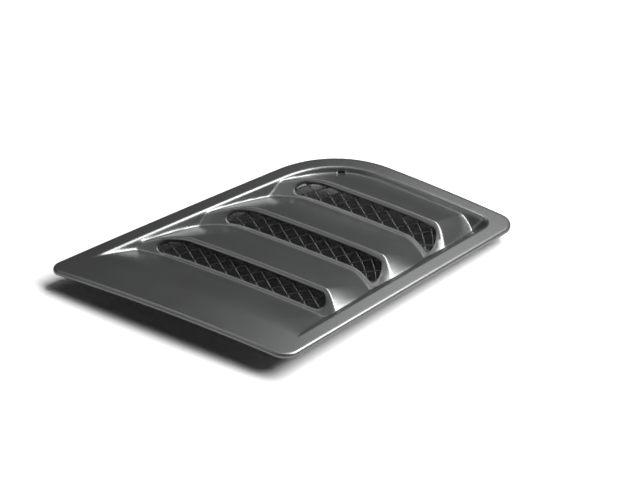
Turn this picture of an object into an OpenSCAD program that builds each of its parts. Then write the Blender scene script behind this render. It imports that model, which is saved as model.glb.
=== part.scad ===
// Hood bezel: a crowned four-sided moulding with three saw-tooth louvres in a recessed pocket,
// and a black lattice insert staked behind the slot of each louvre.
// Lengths are in millimetres. The shape is drawn with its front left corner at x = 0, y = 0 and
// with z = 0 at the top of the crown. It is then moved so that it stands on its locating pins.

/* [Outline] */
// Length of the front edge between its corner points
front_len = 279.6; // [265:0.2:295]
// Distance from the front edge to the rear left corner point
depth = 313; // [308:1:325]
// How much nearer the front the rear right corner point lies
rear_drop = 6; // [2:0.5:10]
// Angle between the front edge and the left edge
left_angle = 63.6; // [62:0.1:65]
// Angle between the front edge and the right edge
right_angle = 71.9; // [71:0.1:74]
// Radius of the front left corner
corner_front_left = 10; // [8:1:14]
// Radius of the front right corner
corner_front_right = 20; // [14:1:28]
// Radius of the rear right corner
corner_rear_right = 16; // [12:1:24]
// Radius of the rear left corner
corner_rear_left = 110; // [95:1:118]
// Radius of the crown across the width
crown_r = 2000; // [1600:50:3000]
// Top of the crown, from the front left corner
crown_x = 178; // [160:1:195]

/* [Skin] */
// Thickness of the moulding
wall = 3; // [2.6:0.1:3.4]
// Height of the turned down outer edge
edge_h = 5; // [4.6:0.2:7]
// Radius over the outer edge
edge_r = 3; // [2:0.25:3.5]
// Width of the flange at the left, rear and right
flange_w = 15; // [13.5:0.5:17]
// Radius where the flange turns down into the pocket
roll_r = 3.5; // [2.5:0.25:5]
// Draft of the left and rear pocket walls
wall_draft = 27; // [22:1:32]
// Draft of the right pocket wall
right_draft = 45; // [40:1:50]
// Inner corner radius of the pocket, apart from the rear left corner
pocket_corner = 12; // [8:1:16]

/* [Louvres] */
// Distance from the front edge to the first lower lip
first_lip = 81; // [78:1:84]
// Distance from one louvre to the next
pitch = 74.7; // [71:0.1:76]
// Depth of a riser face, front to back
riser_run = 21.5; // [19:0.5:24]
// Height of a riser face
riser_rise = 16; // [13:0.5:18]
// Depth of the lower lips below the flange
lip_drop = 12; // [10:0.5:13]
// Distance from the front edge to the start of the ramp
ramp_start = 30; // [28:1:34]
// Curve of the ramp: 1 is straight, more is hollow at the start
ramp_curve = 1.6; // [1.2:0.1:2]
// Fall of the last blade, mm down for each mm back
last_fall = 0.3; // [0.24:0.01:0.34]
// Swell of the blades between their ends
blade_swell = 1.2; // [0:0.2:2]

/* [Louvre ends] */
// Forward sweep of the three lower lips at their left ends
lower_left_sweep = [8, 16.5, 15]; // [6:0.5:18]
// Lift of the three lower lips at their left ends
lower_left_lift = [3, 0, 0]; // [0:0.5:4]
// Forward sweep of the three upper lips at their left ends
upper_left_sweep = [22.5, 24, 19]; // [16:0.5:26]
// Drop of the three upper lips at their left ends
upper_left_drop = [9, 7, 7]; // [5:0.5:10]
// Length over which the lower lips bend at their left ends
lower_left_bend = 34; // [28:1:40]
// Length over which the upper lips bend at their left ends
upper_left_bend = 48; // [42:1:54]
// Forward sweep of the three lower lips at their right ends
lower_right_sweep = [6, 15, 15]; // [4:0.5:18]
// Drop of the lower lips at their right ends
lower_right_drop = 3; // [1:0.5:5]
// Start of the lower lips' right bends, from the right edge
lower_right_in = [38, 66, 69]; // [34:1:74]
// Forward sweep of the upper lips at their right ends
upper_right_sweep = 16; // [12:0.5:18]
// Drop of the upper lips at their right ends
upper_right_drop = 11; // [8:0.5:13]
// Start of the upper lips' right bends, from the right edge
upper_right_in = [49.5, 50.5, 53.5]; // [46:0.5:58]

/* [Slots] */
// Left end of a slot, from the left edge
slot_left = 34; // [32:1:38]
// Right end of a slot, from the right edge
slot_right = 40; // [38:1:44]
// Lower side of a slot, as a share of the riser
slot_low = 0.15; // [0.12:0.01:0.2]
// Upper side of a slot, as a share of the riser
slot_high = 0.83; // [0.78:0.01:0.86]
// Length of a slot's rounded ends
slot_end = 8; // [6:0.5:10]

/* [Lattice] */
// Gap between a lattice and the riser in front of it
seat_gap = 0.3; // [0.2:0.05:0.5]
// Thickness of a lattice
lattice_t = 2; // [1.6:0.1:2.4]
// Length of a diamond, strand to strand
diamond_l = 18; // [17:0.5:22]
// Height of a diamond, strand to strand
diamond_h = 12.5; // [11:0.5:14]
// Width of a strand
strand_w = 1.5; // [1.2:0.1:2]
// How far a lattice's ends reach past its slot
tab_l = 10; // [8.5:0.5:11]
// How far a lattice's long sides reach past its slot, as a share of the riser
rim_share = 0.09; // [0.06:0.01:0.1]
// Diameter of a heat stake
stake_d = 2.6; // [2:0.1:3]
// Clearance round a heat stake
stake_gap = 0.25; // [0.15:0.05:0.4]
// Diameter of a stake's formed head
stake_head_d = 4.6; // [4:0.1:5]

/* [Fixings] */
// Outer diameter of a screw tower
tower_d = 8; // [7:0.5:9]
// Depth of the towers' ends below the top of the crown
tower_end = 15; // [14.5:0.5:18]
// Diameter of a pilot hole
pilot_d = 3.2; // [2.5:0.1:4]
// Depth of a pilot hole
pilot_depth = 5; // [3:0.5:5]
// Distance of the front towers from the front edge
front_tower_y = 17; // [16:0.5:19]
// Places of the front towers along the front edge
front_tower_x = [46, 244]; // [40:1:250]
// Distance of the side towers from the front edge
side_tower_y = 150; // [130:1:170]
// Distance of the side towers in from the left and right edges
side_tower_in = 8; // [7.5:0.25:9]
// Distance of the rear towers and pins in from the rear left corner point
rear_in = 11.4; // [10.5:0.1:12]
// Places of the rear towers
rear_tower_x = [205, 345]; // [200:1:350]
// Diameter of a locating pin
pin_d = 6; // [5:0.5:7]
// Depth of the pins' ends below the top of the crown
pin_end = 31; // [30.5:0.5:36]
// Taper at the end of a pin
pin_tip = 1; // [0.5:0.25:1.5]
// Distance of the front pins from the front edge
front_pin_y = 48; // [44:1:54]
// Places of the front pins
front_pin_x = [76, 246]; // [70:1:255]
// Places of the rear pins
rear_pin_x = [240, 312]; // [232:1:320]

/* [Ribs and drain] */
// Thickness of a rib
rib_t = 2; // [1.5:0.1:2.4]
// Height of a rib below the skin
rib_h = 4; // [3:0.5:5]
// Number of ribs under each blade
ribs = 3; // [1:1:4]
// Length of the drain window along the wall
drain_l = 7; // [5:0.5:9]
// Height of the drain window
drain_h = 3.4; // [2.5:0.1:4]
// Direction of the drain window from the centre of the rear left corner
drain_angle = 116; // [108:1:124]

/* [Hidden] */

paint = [0.31, 0.32, 0.32];
black = [0.05, 0.05, 0.05];
fine = 48;
stake_sides = 10;
joint = 0.05;
bend_power = 1.6;
bend_limit = 1.1;
ceiling = 30;
ground = -60;
crown_step = 15;
ramp_steps = 5;
blade_steps = 4;
cutter_shift = 3.4;
left_marks = [-16, 2, 14, 24, 31, 38, 46, 57, 70];
right_marks = [72, 60, 52, 46, 40, 34, 28, 22, 14, 4, -16];
middle_steps = 6;
left_last = len(left_marks) - 1;
right_first = left_last + middle_steps;
column_count = right_first + len(right_marks);
right_bend_lower = 30;
right_bend_upper = 19;
lower_left_in = 19;
upper_left_in = 10;

// Outline corners, anticlockwise from the front left, and the side that follows each of them
corners = [
    [0, 0],
    [front_len, 0],
    [right_x(depth - rear_drop), depth - rear_drop],
    [left_x(depth), depth]
];
corner_rs = [corner_front_left, corner_front_right, corner_rear_right, corner_rear_left];
arc_steps = [5, 6, 5, 12];
side_steps = [9, 6, 6, 6];
no_inset = [0, 0, 0, 0];
drafts = [right_draft, wall_draft, wall_draft];
pocket_insets = [ramp_start - 4, flange_w, flange_w, flange_w];
pocket_rs = [pocket_corner, pocket_corner, pocket_corner, corner_rear_left - flange_w];

outline = ring(no_inset, corner_rs);
xs = [for (p = outline) p.x];
ys = [for (p = outline) p.y];
move = [-(min(xs) + max(xs)) / 2, -(min(ys) + max(ys)) / 2, pin_end];

// Sides of the outline and height of the crown
function left_x(y) = y / tan(left_angle);
function right_x(y) = front_len + y / tan(right_angle);
function crown(x) = -pow(x - crown_x, 2) / (2 * crown_r);

// Place of column k at a distance y from the front: the columns crowd at both sides
function column_x(k, y) =
    let (a = left_x(y) + left_marks[left_last], b = right_x(y) - right_marks[0])
    k < left_last ? left_x(y) + left_marks[k]
    : k < right_first ? a + (b - a) * (k - left_last) / middle_steps
    : right_x(y) - right_marks[k - right_first];

// Plan geometry of the rounded outline and of the lines inside it
function along(k) = let (d = corners[(k + 1) % 4] - corners[k]) d / norm(d);
function inward(k) = [-along(k).y, along(k).x];
function meet(p, d, q, e) = p + d * cross(q - p, e) / cross(d, e);
function arc_centre(k, insets, rs) =
    let (j = (k + 3) % 4)
    meet(corners[j] + inward(j) * (insets[j] + rs[k]), along(j),
         corners[k] + inward(k) * (insets[k] + rs[k]), along(k));
function heading(v) = let (a = atan2(v.y, v.x)) a < 0 ? a + 360 : a;
function arc(k, insets, rs) =
    let (c = arc_centre(k, insets, rs),
         a = heading(-inward((k + 3) % 4)),
         b = heading(-inward(k)),
         turn = b < a ? b + 360 - a : b - a)
    [for (i = [0:arc_steps[k]])
        let (t = a + turn * i / arc_steps[k])
        c + rs[k] * [cos(t), sin(t)]];
function ring(insets, rs) =
    let (arcs = [for (k = [0:3]) arc(k, insets, rs)])
    [for (k = [0:3]) each concat(
        arcs[k],
        let (s = arcs[k][arc_steps[k]], e = arcs[(k + 1) % 4][0])
        [for (i = [1:side_steps[k] - 1]) s + (e - s) * i / side_steps[k]])];
function crowned(pts, drop) = [for (p = pts) [p.x, p.y, crown(p.x) - drop]];
function level(pts, z) = [for (p = pts) [p.x, p.y, z]];

// How far a pocket wall lies inside the edge of its flange at a depth below the flange
function wall_in(drop, draft) =
    let (turn = 90 - draft, roll_drop = roll_r * (1 - cos(turn)))
    drop <= 0 ? 0
    : drop < roll_drop ? sqrt(pow(roll_r, 2) - pow(roll_r - drop, 2))
    : roll_r * sin(turn) + (drop - roll_drop) * tan(draft);
// The same for the plane a distance t behind the straight part of the wall
function back_in(drop, draft, t) =
    let (turn = 90 - draft, roll_drop = roll_r * (1 - cos(turn)))
    roll_r * sin(turn) + (drop - roll_drop) * tan(draft) - t / cos(draft);
function shrunk(rs, by) = [for (r = rs) max(r - by, 1)];
function pocket_ring(front, ins) =
    ring(pocket_insets + [front, ins[0], ins[1], ins[2]], shrunk(pocket_rs, ins[2]));
function front_ring(drop) =
    pocket_ring(0, [for (d = drafts) wall_in(drop, d)]);
function back_ring(drop, t) =
    pocket_ring(-t, [for (d = drafts) back_in(drop, d, t)]);

// Lips of the louvres: [y, height above the crown] of louvre i at x
function fade(t) = pow(min(max(t, 0), bend_limit), bend_power);
function lower_y(i) = first_lip + i * pitch;
function upper_y(i) = lower_y(i) + riser_run;
function riser_y(i) = lower_y(i) + riser_run / 2;
function lower_lip(i, x) =
    let (y = lower_y(i),
         left = fade((left_x(y) + lower_left_in + lower_left_bend - x) / lower_left_bend),
         right = fade((x - right_x(y) + lower_right_in[i]) / right_bend_lower))
    [y - lower_left_sweep[i] * left - lower_right_sweep[i] * right,
     -lip_drop + lower_left_lift[i] * left - lower_right_drop * right];
function upper_lip(i, x) =
    let (y = upper_y(i),
         left = fade((left_x(y) + upper_left_in + upper_left_bend - x) / upper_left_bend),
         right = fade((x - right_x(y) + upper_right_in[i]) / right_bend_upper))
    [y - upper_left_sweep[i] * left - upper_right_sweep * right,
     riser_rise - lip_drop - upper_left_drop[i] * left - upper_right_drop * right];

// Section of the louvres along column k, as [x, y, height above the crown], from front to rear
function ramp_at(foot, lip, t) = [
    foot.x + (lip.x - foot.x) * t,
    foot.y + (lip.y - foot.y) * t,
    lip.z * pow(t, ramp_curve)
];
function blade_at(a, b, t) = a + (b - a) * t + [0, 0, blade_swell * 4 * t * (1 - t)];
function blade(a, b) = [for (k = [1:blade_steps]) blade_at(a, b, k / blade_steps)];
function placed(x, lip) = [x, lip.x, lip.y];
function section(k) =
    let (x0 = column_x(k, 0),
         x = [for (i = [0:2]) column_x(k, riser_y(i))],
         low = [for (i = [0:2]) placed(x[i], lower_lip(i, x[i]))],
         up = [for (i = [0:2]) placed(x[i], upper_lip(i, x[i]))],
         foot = [x0, ramp_start, 0],
         rear = [column_x(k, depth), depth + 6, up[2].z - last_fall * (depth + 6 - up[2].y)])
    concat(
        [[x0, -6, 0]],
        [for (j = [0:ramp_steps]) ramp_at(foot, low[0], j / ramp_steps)],
        [up[0]], blade(up[0], low[1]),
        [up[1]], blade(up[1], low[2]),
        [up[2]], blade(up[2], rear));

// The same section moved down into the skin by t
function up_normal(a, b) = let (d = b - a) [0, -d.z, d.y] / norm([d.y, d.z]);
function sunk(s, t) =
    let (last = len(s) - 1, n = [for (k = [0:last - 1]) up_normal(s[k], s[k + 1])])
    [for (k = [0:last])
        let (a = n[max(k - 1, 0)], b = n[min(k, last - 1)])
        s[k] - t * (a + b) / (1 + a * b)];

// A point on riser i at x, a distance s up from the middle of its slot and n out from its face
slot_mid = (slot_low + slot_high) / 2;
function riser_len(i, x) = norm(upper_lip(i, x) - lower_lip(i, x));
function on_riser(i, x, s, n) =
    let (a = lower_lip(i, x), b = upper_lip(i, x), d = (b - a) / norm(b - a),
         p = a + (b - a) * slot_mid + d * s + [-d.y, d.x] * n)
    [x, p.x, p.y + crown(x)];
function riser_slope(i, x) =
    let (d = upper_lip(i, x) - lower_lip(i, x)) atan2(d.y, d.x);
function slot_x0(i) = left_x(riser_y(i)) + slot_left;
function slot_x1(i) = right_x(riser_y(i)) - slot_right;

// Places along x of a band with rounded ends, and how much of its height it has there. A cutter's
// places are shifted from the columns, so that its edges don't fall on theirs.
function end_steps(r) = [for (a = [22, 46, 70]) r * (1 - cos(a))];
function band_x(i, x0, x1, r, shift) = concat(
    [for (d = end_steps(r)) x0 + d],
    [for (k = [0:column_count - 1])
        let (x = column_x(k, riser_y(i)) + shift)
        if (x > x0 + r && x < x1 - r) x],
    [for (k = [2:-1:0]) x1 - end_steps(r)[k]]);
function fullness(x, x0, x1, r) =
    let (d = min(x - x0, x1 - x)) d >= r ? 1 : sqrt(1 - pow(1 - d / r, 2));

// A closed solid through rings of equal count, seen anticlockwise from its last ring
module loft(rings) {
    n = len(rings[0]);
    m = len(rings);
    polyhedron(
        points = [for (r = rings) each r],
        faces = concat(
            [[for (k = [0:n - 1]) k]],
            [for (s = [0:m - 2], k = [0:n - 1])
                let (a = s * n + k, b = s * n + (k + 1) % n) each [[a, a + n, b + n], [a, b + n, b]]],
            [[for (k = [n - 1:-1:0]) (m - 1) * n + k]]));
}

// Everything below a surface given as columns of points
module below(grid) {
    m = len(grid);
    n = len(grid[0]);
    low = m * n;
    polyhedron(
        points = concat(
            [for (c = grid) each c],
            [for (c = grid) each [for (p = c) [p.x, p.y, ground]]]),
        faces = concat(
            [for (i = [0:m - 2], j = [0:n - 2])
                let (a = i * n + j, b = a + n)
                each [[a, a + 1, b + 1], [a, b + 1, b]]],
            [for (i = [0:m - 2], j = [0:n - 2])
                let (a = low + i * n + j, b = a + n)
                each [[a, b + 1, a + 1], [a, b, b + 1]]],
            [for (i = [0:m - 2])
                let (a = i * n, b = a + n) each [[low + a, a, b], [low + a, b, low + b]]],
            [for (i = [0:m - 2])
                let (a = i * n + n - 1, b = a + n) each [[low + b, b, a], [low + b, a, low + a]]],
            [for (j = [0:n - 2]) each [[low + j + 1, j + 1, j], [low + j + 1, j, low + j]]],
            [for (j = [0:n - 2])
                let (a = (m - 1) * n + j) each [[low + a, a, a + 1], [low + a, a + 1, low + a + 1]]]));
}

module louvre_form(t) {
    below([for (k = [0:column_count - 1])
        [for (p = sunk(section(k), t)) [p.x, p.y, p.z + crown(p.x)]]]);
}

module crown_form(drop) {
    stations = concat(
        [for (k = [0:column_count - 1]) column_x(k, 0)],
        [for (k = [-4:1]) max(xs) + k * crown_step]);
    below([for (x = stations) [for (y = [-6, depth + 6]) [x, y, crown(x) - drop]]]);
}

module outer_form() {
    loft([
        level(outline, ground + 1),
        crowned(outline, edge_r),
        for (a = [30, 60])
            crowned(ring([1, 1, 1, 1] * edge_r * (1 - cos(a)), shrunk(corner_rs, edge_r * (1 - cos(a)))),
                    edge_r * (1 - sin(a))),
        crowned(ring([1, 1, 1, 1] * edge_r, shrunk(corner_rs, edge_r)), -joint),
        level(ring([1, 1, 1, 1] * edge_r, shrunk(corner_rs, edge_r)), ceiling)
    ]);
}

module inner_form() {
    inside = ring([1, 1, 1, 1] * wall, shrunk(corner_rs, wall));
    loft([level(inside, ground - 1), level(inside, ceiling)]);
}

// The pocket as seen from above, and the same a distance t into its walls
module pocket_form() {
    turn = 90 - wall_draft;
    loft([
        level(front_ring(-ground), ground - 2),
        for (a = [turn, turn * 0.66, turn * 0.33]) crowned(front_ring(roll_r * (1 - cos(a))), roll_r * (1 - cos(a))),
        crowned(front_ring(0), -joint),
        level(front_ring(0), ceiling)
    ]);
}

module pocket_back(t) {
    loft([
        level(back_ring(-ground, t), ground - 2),
        crowned(back_ring(0, t), 0),
        level(back_ring(0, t), ceiling)
    ]);
}

module skin() {
    difference() {
        intersection() {
            outer_form();
            union() {
                difference() {
                    crown_form(0);
                    pocket_form();
                }
                intersection() {
                    louvre_form(0);
                    pocket_back(wall);
                }
            }
        }
        intersection() {
            inner_form();
            difference() {
                crown_form(wall);
                pocket_back(wall);
            }
        }
        intersection() {
            louvre_form(wall);
            pocket_back(wall + joint);
        }
        difference() {
            crown_form(edge_h);
            pocket_back(wall);
        }
    }
}

// A band on riser i with rounded ends, between two shares of its height and two depths
module riser_band(i, x0, x1, low, high, end_r, front, back, shift = 0) {
    loft([
        for (x = band_x(i, x0, x1, end_r, shift))
            let (h = riser_len(i, x) * (high - low) / 2 * fullness(x, x0, x1, end_r),
                 mid = riser_len(i, x) * ((high + low) / 2 - slot_mid))
            [
                on_riser(i, x, mid - h, -back),
                on_riser(i, x, mid + h, -back),
                on_riser(i, x, mid + h, front),
                on_riser(i, x, mid - h, front)
            ]
    ]);
}

module slot(i) {
    riser_band(i, slot_x0(i), slot_x1(i), slot_low, slot_high, slot_end, wall, wall + 1.5,
               cutter_shift);
}

// Ribs under the ramp and the blades, following the skin: where they begin and end, front to back,
// and how far they keep from the left and right edges
rib_front = 6;
rib_back = 22;
rib_left = 40;
rib_right = 60;
rib_spans = [
    [ramp_start + 4, lower_y(0) - 12],
    [upper_y(0) + rib_front, lower_y(1) - rib_back],
    [upper_y(1) + rib_front, lower_y(2) - rib_back],
    [upper_y(2) + rib_front, depth - flange_w - 16]
];

module rib_field() {
    intersection() {
        difference() {
            louvre_form(wall - 1);
            translate([0, 0, -rib_h]) louvre_form(wall);
        }
        for (s = rib_spans, k = [1:ribs])
            let (mid = (s[0] + s[1]) / 2, a = left_x(mid) + rib_left, b = right_x(mid) - rib_right,
                 x = a + (b - a) * (k - 0.5) / ribs)
            translate([x - rib_t / 2, s[0], ground]) cube([rib_t, s[1] - s[0], ceiling - ground]);
    }
}

// Drain window where the last blade meets the wall in the rear left corner
drain_centre = arc_centre(3, pocket_insets, pocket_rs);
drain_drop = 5;
drain_out = pocket_rs[3] - wall_in(drain_drop, wall_draft);
drain_at = drain_centre + drain_out * [cos(drain_angle), sin(drain_angle)];

module drain() {
    translate([drain_at.x, drain_at.y, crown(drain_at.x) - drain_drop - 1])
        rotate([0, 0, drain_angle - 90])
            translate([-drain_l / 2, -2, 0]) cube([drain_l, 9, drain_h]);
}

// Heat stakes: two at each end of a lattice
function stake_xs(i) = [slot_x0(i) - tab_l / 2, slot_x1(i) + tab_l / 2];
stake_shares = [-0.2, 0.2];

module at_stakes(i, depth_in) {
    for (x = stake_xs(i), f = stake_shares)
        translate(on_riser(i, x, f * riser_len(i, x), -depth_in))
            rotate([riser_slope(i, x), 0, 0])
                mirror([0, 0, 1]) children();
}

module stakes(i) {
    root = wall - 1;
    reach = 1 + seat_gap + lattice_t;
    at_stakes(i, root) cylinder(d = stake_d, h = reach + 1, $fn = stake_sides);
    at_stakes(i, root + reach + seat_gap)
        cylinder(d1 = stake_head_d, d2 = stake_d, h = 1.2, $fn = stake_sides);
}

// Towers with pilot holes, ending in one plane. The third value is the height of the skin there
// above the crown.
rear_y = depth - rear_in;
side_left_x = left_x(side_tower_y) + side_tower_in / sin(left_angle);
side_right_x = right_x(side_tower_y) - side_tower_in / sin(right_angle);
towers = [
    [front_tower_x[0], front_tower_y, 0],
    [front_tower_x[1], front_tower_y, 0],
    [side_left_x, side_tower_y, 0],
    [side_right_x, side_tower_y, 0],
    [rear_tower_x[0], rear_y, 0],
    [rear_tower_x[1], rear_y, 0]
];

module tower(p) {
    top = crown(p.x) + p.z - wall / 2;
    translate([p.x, p.y, -tower_end]) cylinder(d = tower_d, h = top + tower_end, $fn = fine);
}

module pilot(p) {
    translate([p.x, p.y, -tower_end - 1]) cylinder(d = pilot_d, h = pilot_depth + 1, $fn = fine);
}

// Locating pins: each stands on a shoulder level with the towers' ends, and they end in the plane
// that the part stands on
function ramp_z(p) =
    let (lip = lower_lip(0, p.x), t = (p.y - ramp_start) / (lip.x - ramp_start))
    lip.y * pow(max(t, 0), ramp_curve);
pins = [
    for (x = front_pin_x) [x, front_pin_y, ramp_z([x, front_pin_y])],
    for (x = rear_pin_x) [x, rear_y, 0]
];

module pin(p) {
    translate([p.x, p.y, -pin_end]) {
        cylinder(d1 = pin_d - 2 * pin_tip, d2 = pin_d, h = pin_tip, $fn = fine);
        translate([0, 0, pin_tip])
            cylinder(d = pin_d, h = pin_end - tower_end - pin_tip + joint, $fn = fine);
    }
}

module bezel_shell() {
    color(paint) translate(move) difference() {
        union() {
            // the skin keeps its size here and is joined into one mesh with its ribs and stakes
            resize([0, 0, 0]) union() {
                difference() {
                    union() {
                        skin();
                        rib_field();
                    }
                    for (i = [0:2]) slot(i);
                    drain();
                }
                for (i = [0:2]) stakes(i);
            }
            for (p = concat(towers, pins)) tower(p);
            for (p = pins) pin(p);
        }
        for (p = towers) pilot(p);
    }
}

// Diamond openings of a lattice, laid out from the middle of its slot
hole_l = diamond_l / 2 - strand_w / 2 / sin(atan2(diamond_h, diamond_l));
hole_h = diamond_h / 2 - strand_w / 2 / cos(atan2(diamond_h, diamond_l));

module diamond(i, x, s) {
    front = -(wall + seat_gap) + 1;
    back = -(wall + seat_gap + lattice_t) - 1;
    loft([
        for (n = [back, front])
            [
                on_riser(i, x - hole_l, s, n),
                on_riser(i, x, s - hole_h, n),
                on_riser(i, x + hole_l, s, n),
                on_riser(i, x, s + hole_h, n)
            ]
    ]);
}

module diamonds(i) {
    mid = (slot_x0(i) + slot_x1(i)) / 2;
    half = ceil((slot_x1(i) - slot_x0(i)) / 2 / diamond_l);
    for (row = [-2:2], k = [-half:half])
        diamond(i, mid + (k + (row % 2 == 0 ? 0 : 0.5)) * diamond_l, row * diamond_h / 2);
}

module lattice(i) {
    face = wall + seat_gap;
    color(black) translate(move) resize([0, 0, 0]) difference() {
        riser_band(i, slot_x0(i) - tab_l, slot_x1(i) + tab_l,
                   slot_low - rim_share, slot_high + rim_share, 3, -face, face + lattice_t);
        intersection() {
            diamonds(i);
            riser_band(i, slot_x0(i) + 1, slot_x1(i) - 1, slot_low - 0.02, slot_high + 0.02,
                       slot_end, 0, face + lattice_t + 2, cutter_shift);
        }
        at_stakes(i, wall - 1)
            cylinder(d = stake_d + 2 * stake_gap, h = lattice_t + 4, $fn = stake_sides);
    }
}

module mesh_front() {
    lattice(0);
}

module mesh_middle() {
    lattice(1);
}

module mesh_rear() {
    lattice(2);
}

bezel_shell();
mesh_front();
mesh_middle();
mesh_rear();
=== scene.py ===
"""Hood bezel: the smooth moulding, its lattices and its fixings, dressed over the packed frame."""

import math

import bmesh
import bpy
import numpy as np
from bpy.props import (
    FloatProperty,
    FloatVectorProperty,
    IntProperty,
    PointerProperty,
)
from mathutils import Matrix, Vector
from mathutils.geometry import delaunay_2d_cdt


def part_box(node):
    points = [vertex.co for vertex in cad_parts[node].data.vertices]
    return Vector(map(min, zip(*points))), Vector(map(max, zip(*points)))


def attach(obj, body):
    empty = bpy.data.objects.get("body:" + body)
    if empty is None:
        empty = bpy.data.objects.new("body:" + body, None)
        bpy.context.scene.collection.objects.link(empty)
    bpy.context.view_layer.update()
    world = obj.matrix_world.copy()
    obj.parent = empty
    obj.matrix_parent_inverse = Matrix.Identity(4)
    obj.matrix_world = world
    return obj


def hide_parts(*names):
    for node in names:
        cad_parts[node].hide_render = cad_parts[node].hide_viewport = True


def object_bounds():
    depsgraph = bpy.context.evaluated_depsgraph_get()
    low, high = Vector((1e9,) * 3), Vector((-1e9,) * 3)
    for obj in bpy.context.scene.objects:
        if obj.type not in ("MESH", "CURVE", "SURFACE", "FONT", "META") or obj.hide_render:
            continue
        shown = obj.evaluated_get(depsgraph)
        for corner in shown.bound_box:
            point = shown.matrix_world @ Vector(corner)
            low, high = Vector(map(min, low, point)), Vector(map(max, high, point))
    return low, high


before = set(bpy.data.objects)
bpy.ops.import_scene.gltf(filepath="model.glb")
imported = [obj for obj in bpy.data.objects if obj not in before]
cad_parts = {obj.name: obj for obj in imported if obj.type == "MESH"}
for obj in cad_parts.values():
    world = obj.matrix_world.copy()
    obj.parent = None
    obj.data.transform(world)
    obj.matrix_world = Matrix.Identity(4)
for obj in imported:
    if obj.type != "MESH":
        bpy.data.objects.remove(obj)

bl_info = {
    "name": "Hood bezel",
    "version": (1, 0, 0),
    "blender": (4, 5, 0),
    "location": "View3D > Sidebar > Bezel",
    "description": "Builds a louvred hood bezel with its lattices, fixings and studio",
    "category": "Add Mesh",
}

MM = 0.001
SHELL_LOW, SHELL_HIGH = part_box("bezel_shell")
CAD_LOW, CAD_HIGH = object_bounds()
LOUVRES = range(3)

# Steps of the skin's mesh, in millimetres
SPACING = 2.6


# Sizes, in millimetres, as on the drawing: front left corner at 0, 0 and the top of the crown at 0


def size(default, description):
    return FloatProperty(name=description.split(",")[0], default=default, description=description)


def tint(red, green, blue, description):
    colour = (red, green, blue, 1.0)
    return FloatVectorProperty(
        name=description, subtype="COLOR", size=4, default=colour, description=description
    )


class BezelOutline(bpy.types.PropertyGroup):
    """Outline, crown, flange and pocket"""

    front: size(279.6, "Length of the front edge, mm")
    depth: size(313.0, "Front edge to the rear left corner point, mm")
    rear_drop: size(6.0, "How much nearer the rear right corner lies, mm")
    left_angle: size(63.6, "Between the front and left edges, degrees")
    right_angle: size(71.9, "Between the front and right edges, degrees")
    corner_fl: size(10.0, "Front left corner radius, mm")
    corner_fr: size(20.0, "Front right corner radius, mm")
    corner_rr: size(16.0, "Rear right corner radius, mm")
    corner_rl: size(110.0, "Rear left corner radius, mm")
    pocket_corner: size(12.0, "Pocket corner radius, mm")
    crown_radius: size(2000.0, "Radius across the width, mm")
    crown_x: size(178.0, "Place of the top of the crown, mm")
    wall: size(3.0, "Thickness of the moulding, mm")
    edge_height: size(5.0, "Height of the outer edge, mm")
    edge_radius: size(3.0, "Radius over the outer edge, mm")
    flange: size(15.0, "Width of the flange, mm")
    roll: size(3.5, "Radius where the flange turns down, mm")
    wall_draft: size(27.0, "Draft of the left and rear walls, degrees")
    right_draft: size(45.0, "Draft of the right wall, degrees")
    crease: size(0.9, "Reach of the fillets at lips and creases, mm")


class BezelLouvres(bpy.types.PropertyGroup):
    """Louvres and slots"""

    first: size(81.0, "Front edge to the first lower lip, mm")
    pitch: size(74.7, "From one louvre to the next, mm")
    run: size(21.5, "Depth of a riser face, mm")
    rise: size(16.0, "Height of a riser face, mm")
    drop: size(12.0, "Depth of the lower lips, mm")
    ramp: size(30.0, "Front edge to the start of the ramp, mm")
    ramp_curve: size(1.6, "1 is straight, more is hollow")
    fall: size(0.3, "Fall of the last blade, mm for each mm")
    swell: size(1.2, "Swell of the blades, mm")
    slot_left: size(34.0, "Slot's left end from the left edge, mm")
    slot_right: size(40.0, "Slot's right end from the right edge, mm")
    slot_low: size(0.15, "Lower side of a slot, share of the riser")
    slot_high: size(0.83, "Upper side of a slot, share of the riser")
    slot_end: size(8.0, "Length of a slot's rounded ends, mm")
    rim: size(0.6, "Width of the broken edge round a slot, mm")


class BezelLattice(bpy.types.PropertyGroup):
    """Lattices"""

    gap: size(0.3, "Gap behind the riser, mm")
    thick: size(2.0, "Thickness of a lattice, mm")
    length: size(18.0, "Length of a diamond, mm")
    height: size(12.5, "Height of a diamond, mm")
    strand: size(1.5, "Width of a strand, mm")
    tab: size(10.0, "Reach of the ends past the slot, mm")
    rim_share: size(0.09, "Reach of the sides past the slot, share")


class BezelFixings(bpy.types.PropertyGroup):
    """Towers, pins, ribs and stakes"""

    tower: size(8.0, "Diameter of a tower, mm")
    tower_end: size(15.0, "Depth of the towers' ends, mm")
    pilot: size(3.2, "Diameter of a pilot hole, mm")
    pilot_depth: size(5.0, "Depth of a pilot hole, mm")
    front_y: size(17.0, "Front towers from the front edge, mm")
    side_y: size(150.0, "Side towers from the front edge, mm")
    side_in: size(8.0, "Side towers in from their edges, mm")
    rear_in: size(11.4, "Rear towers and pins in from the rear, mm")
    pin: size(6.0, "Diameter of a locating pin, mm")
    pin_end: size(31.0, "Depth of the pins' ends, mm")
    pin_tip: size(1.0, "Taper of a pin's end, mm")
    pin_y: size(48.0, "Front pins from the front edge, mm")
    stake: size(2.6, "Diameter of a heat stake, mm")
    stake_head: size(4.6, "Diameter of a formed head, mm")
    rib: size(2.0, "Thickness of a rib, mm")
    rib_height: size(4.0, "Height of a rib below the skin, mm")
    drain_angle: size(116.0, "Direction of the drain from the rear left arc, degrees")
    drain_drop: size(2.6, "Depth of the drain's upper side, mm")
    drain_height: size(3.4, "Height of the drain window, mm")
    drain_length: size(7.0, "Length of the drain window, mm")
    ribs: IntProperty(name="Ribs", default=3, description="Ribs under each blade")


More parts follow.
